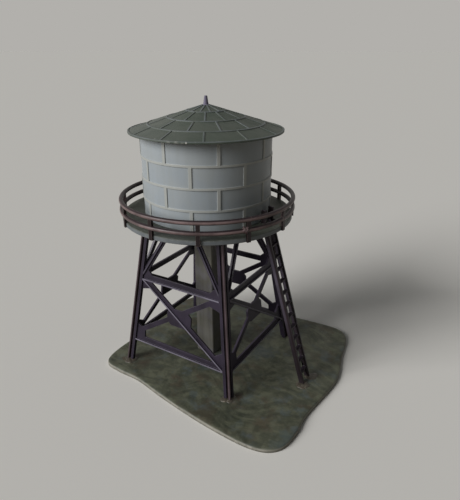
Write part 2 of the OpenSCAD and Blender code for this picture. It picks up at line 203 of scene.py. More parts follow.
world = bpy.data.worlds.new("pale_sky")
bpy.context.scene.world = world
world.use_nodes = True
sky = world.node_tree
sky.nodes.clear()
dim_sky = add(sky, "Background", {"Color": colour("#e9eceb"), "Strength": SKY_LEVEL}).outputs[0]
pale_sky = add(sky, "Background", {"Color": colour("#b2b0ac"), "Strength": 1}).outputs[0]
both = add(sky, "MixShader", {0: seen_straight(sky), 1: dim_sky, 2: pale_sky})
add(sky, "OutputWorld", {"Surface": both.outputs[0]})
bpy.context.scene.view_settings.view_transform = "Standard"
print("lamp strength", round(lamp.data.energy, 2), "and sky level", SKY_LEVEL)

# %% [markdown]
# ## Effects that several finishes share
# Moulded plastic is never quite even. Under a lens it has a fine grain and faint flow marks,
# its corners are rubbed pale, and dust lies on what faces up. The paler corners also stand for
# the highlights that corners catch, so they are partly painted highlight. Such things could be
# built anew in each material. Here each is built once, as a node group with named sockets, and
# placed in every finish that shows it, with its own values. Those that vary with place read object
# coordinates, which here are metres in the model's own frame.

# %% Node group helpers
def start_group(name, inputs, outputs):
    """New shader group: inputs are (name, value) pairs and outputs are names of values."""
    tree = bpy.data.node_groups.new(name, "ShaderNodeTree")
    for socket, value in inputs:
        made = tree.interface.new_socket(socket, in_out="INPUT", socket_type="NodeSocketFloat")
        made.default_value = value
    for socket in outputs:
        tree.interface.new_socket(socket, in_out="OUTPUT", socket_type="NodeSocketFloat")
    print("group", name, "takes", [socket for socket, _ in inputs], "and gives", outputs)
    source = tree.nodes.new("NodeGroupInput")
    return tree, source.outputs, tree.nodes.new("NodeGroupOutput").inputs


def place(tree, group, **values):
    """Outputs of a group placed in a material; a socket's spaces are written as underscores."""
    made = add(tree, "Group", node_tree=group)
    for name, value in values.items():
        feed(tree, made.inputs[name.replace("_", " ")], value)
    return made.outputs


def object_place(tree):
    """Where a point lies on the model."""
    return add(tree, "TexCoord").outputs["Object"]


def surface_way(tree):
    """Which way the surface faces."""
    return add(tree, "NewGeometry").outputs["Normal"]


def split(tree, vector):
    """The X, Y and Z of a vector."""
    return add(tree, "SeparateXYZ", {0: vector}).outputs


def noise_at(tree, scale, detail=3, rough=0.55, vector=None):
    """Value of a noise texture, in object coordinates unless a vector is given."""
    where = vector or object_place(tree)
    inputs = {"Vector": where, "Scale": scale, "Detail": detail, "Roughness": rough}
    return add(tree, "TexNoise", inputs).outputs["Fac"]


# %% Patches: noise cut down to soft patches
patches, given, result = start_group(
    "patches",
    [("Per metre", 100), ("Detail", 3), ("Roughness", 0.55), ("From", 0.4), ("To", 0.6)],
    ["Mask"])
cloud = noise_at(patches, given["Per metre"], given["Detail"], given["Roughness"])
feed(patches, result["Mask"], ramp(patches, cloud, given["From"], given["To"]))

# %% Moulded grain: a fine height for bump, and a slow unevenness for gloss and tone
FLOW_SHARE = 0.6
FINE_SHARE = 0.4

grain, given, result = start_group(
    "moulded_grain", [("Grain per metre", 3000), ("Patch per metre", 90)], ["Height", "Unevenness"])
fine = noise_at(grain, given["Grain per metre"], detail=2)
flow = noise_at(grain, given["Patch per metre"], detail=4, rough=0.6)
relief = calc(grain, "MULTIPLY_ADD", flow, FLOW_SHARE, calc(grain, "MULTIPLY", fine, FINE_SHARE))
feed(grain, result["Height"], relief)
feed(grain, result["Unevenness"], ramp(grain, flow, 0.3, 0.7))

# %% Rubbed and highlit edges: wear and painted highlight where a rounded normal departs from the true one, broken up by patches
RUB_BLUR = 0.16
RUB_TURNED = (0.01, 0.14)

rubbed_and_highlit, given, result = start_group(
    "rubbed_and_highlit_edges", [("Reach", 0.3 * MM), ("Patch per metre", 260), ("Cover", 0.6)], ["Mask"])
soft = add(rubbed_and_highlit, "Bevel", {"Radius": given["Reach"]}, samples=6).outputs["Normal"]
agree = add(rubbed_and_highlit, "VectorMath", {0: soft, 1: surface_way(rubbed_and_highlit)}, operation="DOT_PRODUCT")
corner = ramp(rubbed_and_highlit, calc(rubbed_and_highlit, "SUBTRACT", 1, agree.outputs["Value"]), *RUB_TURNED)
spare = calc(rubbed_and_highlit, "SUBTRACT", 1, given["Cover"])
kept = place(
    rubbed_and_highlit, patches, Per_metre=given["Patch per metre"],
    From=calc(rubbed_and_highlit, "SUBTRACT", spare, RUB_BLUR), To=calc(rubbed_and_highlit, "ADD", spare, RUB_BLUR))
feed(rubbed_and_highlit, result["Mask"], calc(rubbed_and_highlit, "MULTIPLY", corner, kept["Mask"]))

# %% Facing up: how far a surface looks at the sky
upward, given, result = start_group("facing_up", [("From", 0), ("To", 1)], ["Mask"])
looks_up = split(upward, surface_way(upward))["Z"]
feed(upward, result["Mask"], ramp(upward, looks_up, given["From"], given["To"]))

# %% Settled dust: on what faces up, in soft patches
dust, given, result = start_group(
    "settled_dust", [("Amount", 0.5), ("Patch per metre", 70)], ["Mask"])
facing = place(dust, upward, From=0.25, To=0.95)["Mask"]
lies = place(
    dust, patches, Per_metre=given["Patch per metre"],
    Detail=5, Roughness=0.65, From=0.32, To=0.72)["Mask"]
cover = calc(dust, "MULTIPLY", facing, lies)
feed(dust, result["Mask"], calc(dust, "MULTIPLY", cover, given["Amount"]))

# %% Plate shade: one random shade for each plate of a ring or course round the axis
plates, given, result = start_group(
    "plate_shade", [("Row", 0), ("Plates", 8), ("Turn", 0)], ["Shade"])
xyz = split(plates, object_place(plates))
turned = calc(plates, "ARCTAN2", xyz["Y"], xyz["X"])
turned = calc(plates, "SUBTRACT", calc(plates, "DIVIDE", turned, 2 * math.pi), given["Turn"])
half_step = calc(plates, "MULTIPLY", calc(plates, "FLOORED_MODULO", given["Row"], 2), 0.5)
step = calc(plates, "SUBTRACT", calc(plates, "MULTIPLY", turned, given["Plates"]), half_step)
number = calc(plates, "FLOORED_MODULO", calc(plates, "FLOOR", step), given["Plates"])
seed = add(plates, "CombineXYZ", {0: number, 1: given["Row"]}).outputs[0]
drawn = add(plates, "TexWhiteNoise", {"Vector": seed}, noise_dimensions="2D").outputs["Value"]
feed(plates, result["Shade"], drawn)

# %% Strokes: noise drawn out along one direction and swept about, for brush marks and runs
DRIFT_PER_METRE = 28
ACROSS = ("Across X", "Across Y", "Across Z")

strokes, given, result = start_group(
    "strokes", [(name, 400) for name in ACROSS] + [("Sweep", 0)], ["Value"])
here = object_place(strokes)
drift = add(strokes, "TexNoise", {"Vector": here, "Scale": DRIFT_PER_METRE, "Detail": 1})
drift = add(
    strokes, "VectorMath", {0: drift.outputs["Color"], 1: (0.5, 0.5, 0.5)}, operation="SUBTRACT")
drift = add(
    strokes, "VectorMath", {0: drift.outputs[0], "Scale": given["Sweep"]}, operation="SCALE")
swept = add(strokes, "VectorMath", {0: here, 1: drift.outputs[0]}, operation="ADD")
spread = add(strokes, "CombineXYZ", {i: given[name] for i, name in enumerate(ACROSS)})
drawn_out = add(
    strokes, "VectorMath", {0: swept.outputs[0], 1: spread.outputs[0]}, operation="MULTIPLY")
streaks = noise_at(strokes, 1, detail=4, vector=drawn_out.outputs[0])
feed(strokes, result["Value"], ramp(strokes, streaks, 0.32, 0.68))

# %% Spot: a ragged patch round one place, for stains and chips
SPOT_CORE = 0.35
SPOT_RAGGED = 1.6

spot, given, result = start_group(
    "spot",
    [("X", 0), ("Y", 0), ("Z", 0), ("Reach", 5 * MM), ("Patch per metre", 260)], ["Mask"])
centre = add(spot, "CombineXYZ", {i: given[k] for i, k in enumerate("XYZ")}).outputs[0]
away = add(spot, "VectorMath", {0: object_place(spot), 1: centre}, operation="DISTANCE")
ragged = calc(spot, "SUBTRACT", noise_at(spot, given["Patch per metre"], detail=3), 0.5)
wander = calc(spot, "MULTIPLY", given["Reach"], SPOT_RAGGED)
away = calc(spot, "MULTIPLY_ADD", ragged, wander, away.outputs["Value"])
near = calc(spot, "MULTIPLY", given["Reach"], SPOT_CORE)
feed(spot, result["Mask"], calc(spot, "SUBTRACT", 1, ramp(spot, away, near, given["Reach"])))

# %% Round the axis: distance from the tower's axis, and height
axis_place, _, result = start_group("round_the_axis", [], ["Radius", "Height"])
xyz = split(axis_place, object_place(axis_place))
square = calc(axis_place, "MULTIPLY", xyz["Y"], xyz["Y"])
square = calc(axis_place, "MULTIPLY_ADD", xyz["X"], xyz["X"], square)
feed(axis_place, result["Radius"], calc(axis_place, "SQRT", square))
feed(axis_place, result["Height"], xyz["Z"])

# %% [markdown]
# ## Finishes
# Nearly every surface is the same kind of plastic, so the finishes share one start: a Principled
# shader whose bump and gloss come from the moulded grain. What makes them differ is colour, and
# where the colour changes: pale straps on the tank, ribs on the roof, rubbed corners on the
# ironwork.

# %% Start of a plastic finish
GRAIN_DEEP = 0.05 * MM


def start_plastic(name, gloss, spread, bump, grain_per_metre=3000, rounded=0):
    """Material with grain on its bump and roughness; returns it, its tree, shader and grain."""
    material = bpy.data.materials.new(name)
    material.use_nodes = True
    tree = material.node_tree
    shader = tree.nodes["Principled BSDF"]
    moulded = place(tree, grain, Grain_per_metre=grain_per_metre)
    rough = calc(tree, "MULTIPLY_ADD", moulded["Unevenness"], spread, gloss)
    feed(tree, shader.inputs["Roughness"], rough)
    grained = {"Height": moulded["Height"], "Strength": bump, "Distance": GRAIN_DEEP}
    if rounded:
        grained["Normal"] = add(tree, "Bevel", {"Radius": rounded}, samples=8).outputs[0]
    feed(tree, shader.inputs["Normal"], add(tree, "Bump", grained).outputs[0])
    print("finish", name, "has a roughness from", gloss, "to", round(gloss + spread, 2))
    return material, tree, shader, moulded


# %% [markdown]
# ### Tank
# The tank is light grey. Its plates differ a little, and the raised straps over the seams are
# painted paler, down their walls too: partly their own warmer tone and partly painted light, which
# lifts the shade on the walls and stands for the light the straps catch. The straps could be
# painted on a second material slot, but the shape already tells them apart: they are what lies
# farther from the axis than the plates.

# %% Tank finish
TANK_R = 34 * MM
STRAP_H = 0.35 * MM
COURSE_H = 10.8 * MM
COURSE_PLATES = 8
SEAM_TURN = -2 / 360
TANK_EDGE = 0.25 * MM
tank_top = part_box("tank_shell")[1].z


def finish_tank():
    """Grey plates in courses, straps painted paler partly as painted light, runs, worn and highlit
    edges.
    """
    material, tree, shader, moulded = start_plastic(
        "tank_grey", gloss=0.36, spread=0.1, bump=0.12, rounded=TANK_EDGE)
    there = place(tree, axis_place)
    down = calc(tree, "SUBTRACT", tank_top, there["Height"])
    row = calc(tree, "FLOOR", calc(tree, "DIVIDE", down, COURSE_H))
    shade = place(tree, plates, Row=row, Plates=COURSE_PLATES, Turn=SEAM_TURN)["Shade"]
    plate = mix(tree, shade, colour("#9da5ab"), colour("#a5adb3"))
    plate = tint(tree, plate, moulded["Unevenness"], 0.35, "#a8aba9")
    # Painted light: the paler strap tone also covers the strap walls, lifting their shade.
    strap_tone_and_light = ramp(tree, there["Radius"], TANK_R, TANK_R + 0.4 * STRAP_H)
    body = mix(tree, strap_tone_and_light, plate, colour("#b2b4b0"))
    runs = place(tree, strokes, Across_X=350, Across_Y=350, Across_Z=30)["Value"]
    body = tint(tree, body, runs, 0.16, "#92968f")
    worn_and_highlit = place(tree, rubbed_and_highlit, Reach=TANK_EDGE, Cover=0.6)["Mask"]
    feed(tree, shader.inputs["Base Color"], tint(tree, body, worn_and_highlit, 0.35, "#bcbbb4"))
    return material


tank_finish = finish_tank()
print("tank courses from", round(tank_top / MM, 1), "mm down, one every", COURSE_H / MM, "mm")

# %% [markdown]
# ### Roof
# The roof is dark grey-green, with a paler line on each rib and a paler rim, both partly wear and
# partly painted highlight. The ribs belong to the same solid, so they can't simply take a finish
# of their own. But they stand over the cone, so the finish compares the height of a point with the
# height of the cone. The side towards the lamp is painted paler, which is painted light, and a few
# pale chips along the rim are painted glints as well as chips.

# %% Roof finish
ROOF_R = 40 * MM
ROOF_RISE = 12.4 * MM
ROOF_RINGS = 4
RING_PLATES = 12
ROOF_TURN = 2 / 360
RIB_H = 0.3 * MM
PLATE_OVER_TANK = 3 * MM
ROOF_EDGE = 0.4 * MM
ROOF_RUB_AND_HIGHLIGHT = 0.3 * MM
CHIP_PER_METRE = 900
# Place and reach of each pale chip, which is also a painted glint, in mm, and its strength.
ROOF_CHIPS_AND_GLINTS = [
    (-2.3, -38.5, 136.5, 0.6, 0.6),
    (14.3, -37.2, 136.0, 0.6, 1),
    (6.1, -39.5, 135.6, 1.1, 0.22),
    (9.9, -38.7, 135.6, 1.4, 0.28),
    (12.6, -37.9, 135.6, 1.0, 0.2),
]
# Painted light: the roof is painted paler on this side, the viewer's left, where the lamp is.
lit_roof_side = -to_right
roof_fall = ROOF_RISE / ROOF_R
cone_top = tank_top + PLATE_OVER_TANK + roof_fall * TANK_R


def finish_roof():
    """Grey-green plates with paler ribs, painted light on the lamp side, streaks, dust, wear and
    chips.
    """
    material, tree, shader, _ = start_plastic(
        "roof_green", gloss=0.5, spread=0.14, bump=0.2, rounded=ROOF_EDGE)
    there = place(tree, axis_place)
    ring = calc(tree, "FLOOR", calc(tree, "MULTIPLY", there["Radius"], ROOF_RINGS / ROOF_R))
    from_rim = calc(tree, "SUBTRACT", ROOF_RINGS - 1, ring)
    shade = place(tree, plates, Row=from_rim, Plates=RING_PLATES, Turn=ROOF_TURN)["Shade"]
    plate = mix(tree, shade, colour("#38443a"), colour("#434d43"))
    cone = calc(tree, "SUBTRACT", cone_top, calc(tree, "MULTIPLY", there["Radius"], roof_fall))
    rib = ramp(tree, calc(tree, "SUBTRACT", there["Height"], cone), 0.3 * RIB_H, 0.75 * RIB_H)
    # The paler rib line is partly wear and partly painted highlight.
    worn_and_highlit_rib = place(tree, patches, Per_metre=110, From=0.38, To=0.62)["Mask"]
    body = tint(tree, plate, rib, calc(tree, "MULTIPLY_ADD", worn_and_highlit_rib, 0.5, 0.25), "#737a80")
    # Painted light: paler towards the lamp's side.
    toward = add(
        tree, "VectorMath", {0: object_place(tree), 1: lit_roof_side}, operation="DOT_PRODUCT")
    toward = ramp(tree, toward.outputs["Value"], 0, 0.8 * ROOF_R)
    painted_roof_light = calc(tree, "MULTIPLY", toward, noise_at(tree, 60, detail=4))
    body = tint(tree, body, painted_roof_light, 0.7, "#7f837e")
    streak = place(tree, strokes, Across_X=150, Across_Y=420, Across_Z=100)["Value"]
    body = tint(tree, body, streak, 0.25, "#5c6159")
    body = mix(tree, place(tree, dust, Amount=0.15)["Mask"], body, colour("#7c7b72"))
    worn_and_highlit = place(tree, rubbed_and_highlit, Reach=ROOF_RUB_AND_HIGHLIGHT, Cover=0.42)["Mask"]
    body = tint(tree, body, worn_and_highlit, 0.4, "#9c9b92")
    # Pale chips that are also painted glints.
    for x, y, z, reach, strength in ROOF_CHIPS_AND_GLINTS:
        chip_and_glint = place(tree, spot, X=x * MM, Y=y * MM, Z=z * MM, Reach=reach * MM,
                     Patch_per_metre=CHIP_PER_METRE)["Mask"]
        body = tint(tree, body, chip_and_glint, strength, "#c3c1ba")
    feed(tree, shader.inputs["Base Color"], body)
    return material


roof_finish = finish_roof()
print("roof cone falls", round(roof_fall, 3), "per unit of radius")

# %% [markdown]
# ### Ironwork, railing and finial
# Legs, side frames and ladder are dark brown with a violet cast. So dark a plastic shows mostly
# by its gloss, so it is smoother than the deck. Its corners are painted paler, as wear and as
# painted highlight, and what faces up is painted lighter, which is painted light. The railing is
# the same plastic in a redder brown, and the finial a greyer one, so one function makes them all.
# Some places get a paler tone of their own, a painted highlight with some wear: the raised edges
# of the side frames, the crests of the leg beads, the fronts of the rails and the sides of the
# ladder. That could be painted on each mesh by hand, but these meshes stay as they came. So each
# place is found by where it lies or where it faces, and is handed in as a mask.

# %% Where a point lies on the leaning tower
FOOT_C = 35.2 * MM
HEAD_C = 24 * MM
ground_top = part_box("riser_casing")[0].z
deck_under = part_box("riser_casing")[1].z
deck_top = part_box("tank_shell")[0].z
batter = math.atan((FOOT_C - HEAD_C) / (deck_under - ground_top))

tower_place, _, result = start_group("tower_place", [], ["Out", "Across", "Corner", "Height"])
xyz = split(tower_place, object_place(tower_place))
sides = [calc(tower_place, "ABSOLUTE", xyz[k]) for k in ("X", "Y")]
climb = calc(tower_place, "SUBTRACT", xyz["Z"], ground_top)
corner = calc(tower_place, "MULTIPLY_ADD", climb, -math.tan(batter), FOOT_C)
feed(tower_place, result["Out"], calc(tower_place, "MAXIMUM", *sides))
feed(tower_place, result["Across"], calc(tower_place, "MINIMUM", *sides))
feed(tower_place, result["Corner"], corner)
feed(tower_place, result["Height"], xyz["Z"])
print("sides lean", round(math.degrees(batter), 1), "degrees")

# %% Painted highlights on side frames and legs
RAISED_HIGHLIGHT = (0.8 * MM, 0.97 * MM)
STILE_IN = 3.1 * MM
UPPER_BAY = 58 * MM
UPPER_LESS = -0.7
BEAD_OUT = 1.55 * MM


def raised_edge_highlight(tree):
    """Painted highlight: 1 on the frames' raised edges between the stiles, less in the upper bay.
    """
    there = place(tree, tower_place)
    beyond = calc(tree, "SUBTRACT", there["Out"], there["Corner"])
    proud = calc(tree, "MULTIPLY", beyond, math.cos(batter))
    within = calc(tree, "SUBTRACT", there["Corner"], there["Across"])
    inside = calc(tree, "GREATER_THAN", within, STILE_IN)
    face = ramp(tree, proud, *RAISED_HIGHLIGHT)
    upper = calc(tree, "GREATER_THAN", there["Height"], UPPER_BAY)
    face = calc(tree, "MULTIPLY", face, inside)
    return calc(tree, "MULTIPLY", face, calc(tree, "MULTIPLY_ADD", upper, UPPER_LESS, 1))


def leg_bead_highlight(tree):
    """Painted highlight: 1 on the outermost line of the round bead along each leg."""
    there = place(tree, tower_place)
    middle = calc(tree, "MULTIPLY", calc(tree, "ADD", there["Out"], there["Across"]), 0.5)
    beyond = calc(tree, "SUBTRACT", middle, there["Corner"])
    return ramp(tree, calc(tree, "MULTIPLY", beyond, math.sqrt(2)), 0.5 * BEAD_OUT, BEAD_OUT)


# The frames' raised edges carry a painted highlight, with some wear.
print("frames are rubbed most where they stand", RAISED_HIGHLIGHT[1] / MM, "mm proud")

# %% Painted highlights on rails and ladder
RAIL_OUT = 47.3 * MM
RAIL_HIGHLIGHT = (RAIL_OUT - 0.37 * MM, RAIL_OUT - 0.05 * MM)
STRINGER_D = 2.9 * MM
STRINGER_LIT = (1.3 * MM, 2.1 * MM)
STRINGER_HIGHLIGHT_RISE = (20 * MM, 72 * MM)
ladder_low, ladder_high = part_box("ladder")
ladder_lean = (ladder_high.x - STRINGER_D - ladder_low.x) / (deck_top - ground_top)


def rail_front_highlight(tree):
    """Painted highlight, with some wear: 1 on the rails' side farther out than any post, in
    patches.
    """
    front = ramp(tree, place(tree, axis_place)["Radius"], *RAIL_HIGHLIGHT)
    uneven = place(tree, patches, Per_metre=75, Detail=4, From=0.35, To=0.62)["Mask"]
    return calc(tree, "MULTIPLY", front, calc(tree, "MULTIPLY_ADD", uneven, 0.6, 0.4))


def stringer_side_highlight(tree):
    """Painted highlight: part of 1 on the ladder's sides, along their tower edge, less near the
    ground.
    """
    sideways = calc(tree, "ABSOLUTE", split(tree, surface_way(tree))["Y"])
    side = ramp(tree, sideways, 0.75, 0.97)
    xyz = split(tree, object_place(tree))
    drop = calc(tree, "SUBTRACT", deck_top, xyz["Z"])
    inner = calc(tree, "MULTIPLY_ADD", drop, ladder_lean, ladder_low.x)
    depth = calc(tree, "SUBTRACT", xyz["X"], inner)
    near = calc(tree, "SUBTRACT", 1, ramp(tree, depth, *STRINGER_LIT))
    high = calc(tree, "MULTIPLY_ADD", ramp(tree, xyz["Z"], *STRINGER_HIGHLIGHT_RISE), 0.5, 0.04)
    high = calc(tree, "MULTIPLY", high, calc(tree, "GREATER_THAN", drop, 0))
    return calc(tree, "MULTIPLY", calc(tree, "MULTIPLY", side, near), high)


print("ladder leans", round(ladder_lean, 3), "mm out for each mm down")

# %% Ironwork finishes
IRON_RUB_AND_HIGHLIGHT = 0.25 * MM


def finish_ironwork(name, dark, light, top, edge, gloss, highlight_mask=None):
    """Dark glossy plastic in two tones, painted lighter on top as painted light, corners worn and
    highlit.
    """
    material, tree, shader, moulded = start_plastic(name, gloss=gloss, spread=0.12, bump=0.1)
    body = mix(tree, moulded["Unevenness"], colour(dark), colour(light))
    # Painted light: what faces up takes the lighter top tone.
    body = tint(tree, body, place(tree, upward, From=0.05, To=0.75)["Mask"], 0.75, top)
    worn_and_highlit = place(tree, rubbed_and_highlit, Reach=IRON_RUB_AND_HIGHLIGHT, Cover=0.7)["Mask"]
    worn_and_highlit = calc(tree, "MULTIPLY", worn_and_highlit, 0.6)
    if highlight_mask:
        uneven = calc(tree, "MULTIPLY_ADD", moulded["Unevenness"], 0.4, 0.55)
        worn_and_highlit = calc(tree, "MAXIMUM", worn_and_highlit, calc(tree, "MULTIPLY", highlight_mask(tree), uneven))
    feed(tree, shader.inputs["Base Color"], mix(tree, worn_and_highlit, body, colour(edge)))
    shader.inputs["Specular IOR Level"].default_value = 0.3
    return material


# Tones of dark and light patches, of what faces up (painted light) and of worn and highlit edges,
# gloss, and a mask of painted highlight.
IRONWORK = {
    "ladder_brown": ("#191114", "#251a1e", "#3f3640", "#857d90", 0.34, stringer_side_highlight),
    "leg_brown": ("#1a0e10", "#26181b", "#372a2e", "#625459", 0.34, leg_bead_highlight),
    "frame_brown": ("#201a26", "#2c2434", "#403847", "#7c7785", 0.34, raised_edge_highlight),
    "railing_brown": ("#1c1314", "#271b1c", "#32262a", "#957f7e", 0.34, rail_front_highlight),
    "finial_grey": ("#625d70", "#716c80", "#7f7a8c", "#a19cac", 0.36, None),
}
ironwork = {name: finish_ironwork(name, *values) for name, values in IRONWORK.items()}
print(len(ironwork), "finishes from one recipe")

# %% [markdown]
# ### Deck and riser casing
# The deck is grey-green like the roof, but dusty on top and greyer round its rim, and its top is
# painted darker than the rim, which is painted shade. The casing is a warm grey with long upright
# marks, olive corners that are worn and painted as highlights, and a lilac cast here and there.
# Such marks could come from a picture of a surface. Noise that is drawn out along one direction
# gives them at any size, with no file to carry along.

# %% Deck and casing finishes
DECK_RUB_AND_HIGHLIGHT = 0.4 * MM
CASING_RUB_AND_HIGHLIGHT = 0.8 * MM


def finish_deck():
    """Rim paler than the top, whose darkness is painted shade; dust, pale flecks, worn and highlit
    edge.
    """
    material, tree, shader, moulded = start_plastic(
        "deck_green", gloss=0.48, spread=0.14, bump=0.2)
    side = mix(tree, moulded["Unevenness"], colour("#62676a"), colour("#72777a"))
    top = mix(tree, moulded["Unevenness"], colour("#3a3f36"), colour("#474c43"))
    # Painted shade: the top takes a darker tone than the rim.
    body = mix(tree, place(tree, upward, From=0.3, To=0.9)["Mask"], side, top)
    body = mix(tree, place(tree, dust, Amount=0.2)["Mask"], body, colour("#6d6b60"))
    fleck = place(tree, patches, Per_metre=800, Roughness=0.65, From=0.58, To=0.68)["Mask"]
    body = tint(tree, body, fleck, 0.4, "#8d8f8c")
    worn_and_highlit = place(tree, rubbed_and_highlit, Reach=DECK_RUB_AND_HIGHLIGHT, Cover=0.55)["Mask"]
    feed(tree, shader.inputs["Base Color"], tint(tree, body, worn_and_highlit, 0.6, "#a1a29d"))
    return material


def finish_casing():
    """Upright marks, an uneven olive and lilac cast, and olive corners that are worn and highlit.
    """
    material, tree, shader, moulded = start_plastic(
        "casing_green", gloss=0.46, spread=0.14, bump=0.15)
    runs = place(tree, strokes, Across_X=500, Across_Y=500, Across_Z=25)["Value"]
    body = mix(tree, runs, colour("#504f49"), colour("#65635e"))
    body = tint(tree, body, moulded["Unevenness"], 0.3, "#625f4d")
    cast = place(tree, patches, Per_metre=120, From=0.45, To=0.65)["Mask"]
    body = tint(tree, body, cast, 0.5, "#67646c")
    worn_and_highlit = place(tree, rubbed_and_highlit, Reach=CASING_RUB_AND_HIGHLIGHT, Cover=0.85)["Mask"]
    feed(tree, shader.inputs["Base Color"], tint(tree, body, worn_and_highlit, 0.7, "#837d5e"))
    return material


deck_finish = finish_deck()
casing_finish = finish_casing()
print("materials so far:", len(bpy.data.materials))

# %% [markdown]
# ### Dressing the solid pieces
# The solids stay as they are, so each only takes its finish. Their corners are knife sharp,
# though, and no moulding is. A bevel can't be put on a mesh of loose triangles, so two
# modifiers come before it: one joins the vertices and one dissolves flat triangles into whole
# faces. Then the bevel rounds what is still a corner, and a last one evens the normals. A bevel
# can narrow itself where edges are short, but then one tiny edge takes the rounding away from
# the whole piece. So that is off, and each piece has a width that suits its short edges.

# %% Finishes and soft corners on the solid pieces
CORNER_ANGLE = math.radians(32)
FLAT_ANGLE = math.radians(0.4)
JOIN_REACH = 0.04 * MM
CORNER_STEPS = 2


def soften(piece, width):
    """Round the corners of a solid piece without touching its mesh."""
    weld = piece.modifiers.new("join", "WELD")
    weld.merge_threshold = JOIN_REACH
    flat = piece.modifiers.new("flat_faces", "DECIMATE")
    flat.decimate_type = "DISSOLVE"
    flat.angle_limit = FLAT_ANGLE
    bevel = piece.modifiers.new("soft_corners", "BEVEL")
    bevel.width = width
    bevel.segments = CORNER_STEPS
    bevel.limit_method = "ANGLE"
    bevel.angle_limit = CORNER_ANGLE
    bevel.use_clamp_overlap = False
    even = piece.modifiers.new("even_normals", "WEIGHTED_NORMAL")
    even.keep_sharp = False


dressing = {
    "leg_": (ironwork["leg_brown"], 0.04 * MM),
    "side_frame_": (ironwork["frame_brown"], 0.08 * MM),
    "ladder": (ironwork["ladder_brown"], 0.16 * MM),
    "riser_casing": (casing_finish, 0.15 * MM),
    "deck": (deck_finish, 0),
    "railing_": (ironwork["railing_brown"], 0),
    "tank_shell": (tank_finish, 0),
    "roof": (roof_finish, 0),
    "finial": (ironwork["finial_grey"], 0),
}
for start, (finish, width) in dressing.items():
    for name in [n for n in nodes if n.startswith(start)]:
        nodes[name].data.materials.clear()
        nodes[name].data.materials.append(finish)
        if width:
            soften(nodes[name], width)
print("dressed", len([n for n in nodes if not n.startswith("ground")]), "solid pieces")

# %% [markdown]
# ## The ground
# The solid ground plate is a flat slab with the right outline. The real one is a moulded scrap
# of earth: it swells and dips a little and its edge is rolled over. It could be sculpted by
# hand, but then it would no longer fit the outline. So the outline is read off the solid,
# a net of points is laid inside it, and their heights come from noise and from how far each
# point lies from the edge.

# %% Outline of the ground plate
LEVEL_SLACK = 0.001 * MM
SAME_DIGITS = 7


def top_outline(mesh, level):
    """Longest closed loop round the level top of a mesh, as points in order."""
    uses = {}
    for face in mesh.polygons:
        corners = [
            tuple(round(v, SAME_DIGITS) for v in mesh.vertices[i].co) for i in face.vertices]
        if all(abs(c[2] - level) < LEVEL_SLACK for c in corners):
            for a, b in zip(corners, corners[1:] + corners[:1]):
                uses.setdefault(frozenset((a, b)), []).append((a, b))
    follows = {edges[0][0]: edges[0][1] for edges in uses.values() if len(edges) == 1}
    loops = []
    while follows:
        start = next(iter(follows))
        loop = [start]
        while loop[-1] in follows:
            loop.append(follows.pop(loop[-1]))
        loops.append(loop[:-1])
    return max(([Vector(p[:2]) for p in loop] for loop in loops), key=len)


outline = top_outline(nodes["ground_plate"].data, ground_top)
print("ground outline of", len(outline), "points, top at", round(ground_top / MM, 2), "mm")

# %% Even points along the outline
EDGE_STEP = 1.0 * MM


def even_points(loop, step):
    """Points at an even step along a closed loop."""
    lengths = [(b - a).length for a, b in zip(loop, loop[1:] + loop[:1])]
    count = round(sum(lengths) / step)
    points, i, passed = [], 0, 0.0
    for k in range(count):
        want = sum(lengths) * k / count
        while passed + lengths[i] < want:
            passed += lengths[i]
            i += 1
        points.append(loop[i].lerp(loop[(i + 1) % len(loop)], (want - passed) / lengths[i]))
    return points


rim = even_points(outline, EDGE_STEP)
finder = kdtree.KDTree(len(rim))
for i, point in enumerate(rim):
    finder.insert(point.to_3d(), i)
finder.balance()
print("rim of", len(rim), "points, one every", EDGE_STEP / MM, "mm")

# %% Net of points inside the outline
NET_STEP = 1.5 * MM
NET_CLEAR = 0.6 * NET_STEP
NET_SLACK = 1e-7
EDGE_ROLL = 0.7 * MM
ROLL_RINGS = 4
ROLL_CROWDING = 1.5


def inset(loop, depth):
    """Loop moved inwards, square to itself; the loop runs anticlockwise."""
    moved = []
    for i, point in enumerate(loop):
        along = (loop[(i + 1) % len(loop)] - loop[i - 1]).normalized()
        moved.append(point + Vector((-along.y, along.x)) * depth)
    return moved


net = list(rim)
for k in range(1, ROLL_RINGS + 1):
    net += inset(rim, EDGE_ROLL * (k / ROLL_RINGS) ** ROLL_CROWDING)
low = Vector((min(p.x for p in rim), min(p.y for p in rim)))
high = Vector((max(p.x for p in rim), max(p.y for p in rim)))
for i in range(int((high.x - low.x) / NET_STEP)):
    for j in range(int((high.y - low.y) / NET_STEP)):
        point = low + Vector((i + 0.5 * (j % 2), j)) * NET_STEP
        if finder.find(point.to_3d())[2] > EDGE_ROLL + NET_CLEAR:
            net.append(point)
loop_edges = [(i, (i + 1) % len(rim)) for i in range(len(rim))]
flat_points, _, flat_faces, *_ = geometry.delaunay_2d_cdt(net, loop_edges, [], 1, NET_SLACK)
print("net of", len(flat_points), "points and", len(flat_faces), "faces")

# %% Heights of the ground
EDGE_WALL = 1.15 * MM
# Breadth and height of the swells.
SWELLS = [(24 * MM, 0.32 * MM), (8 * MM, 0.16 * MM), (2.6 * MM, 0.07 * MM)]


def ground_height(point):
    """Height of the ground at a point: rolled at its edge, lumpy inside, never below the feet."""
    inward = min(1, finder.find(point.to_3d())[2] / EDGE_ROLL)
    roll = EDGE_WALL + (ground_top - EDGE_WALL) * math.sqrt(1 - (1 - inward) ** 2)
    lumps = 0
    for size, height in SWELLS:
        wave = noise.noise(Vector((point.x / size, point.y / size, size / MM)))
        lumps += height * (0.5 + 0.5 * wave)
    return roll + lumps * inward


front_foot = Vector((FOOT_C, -FOOT_C))
print("ground by the front foot is", round(ground_height(front_foot) / MM, 2), "mm high")

# %% The ground as one closed piece
LEVEL_ENOUGH = 0.999

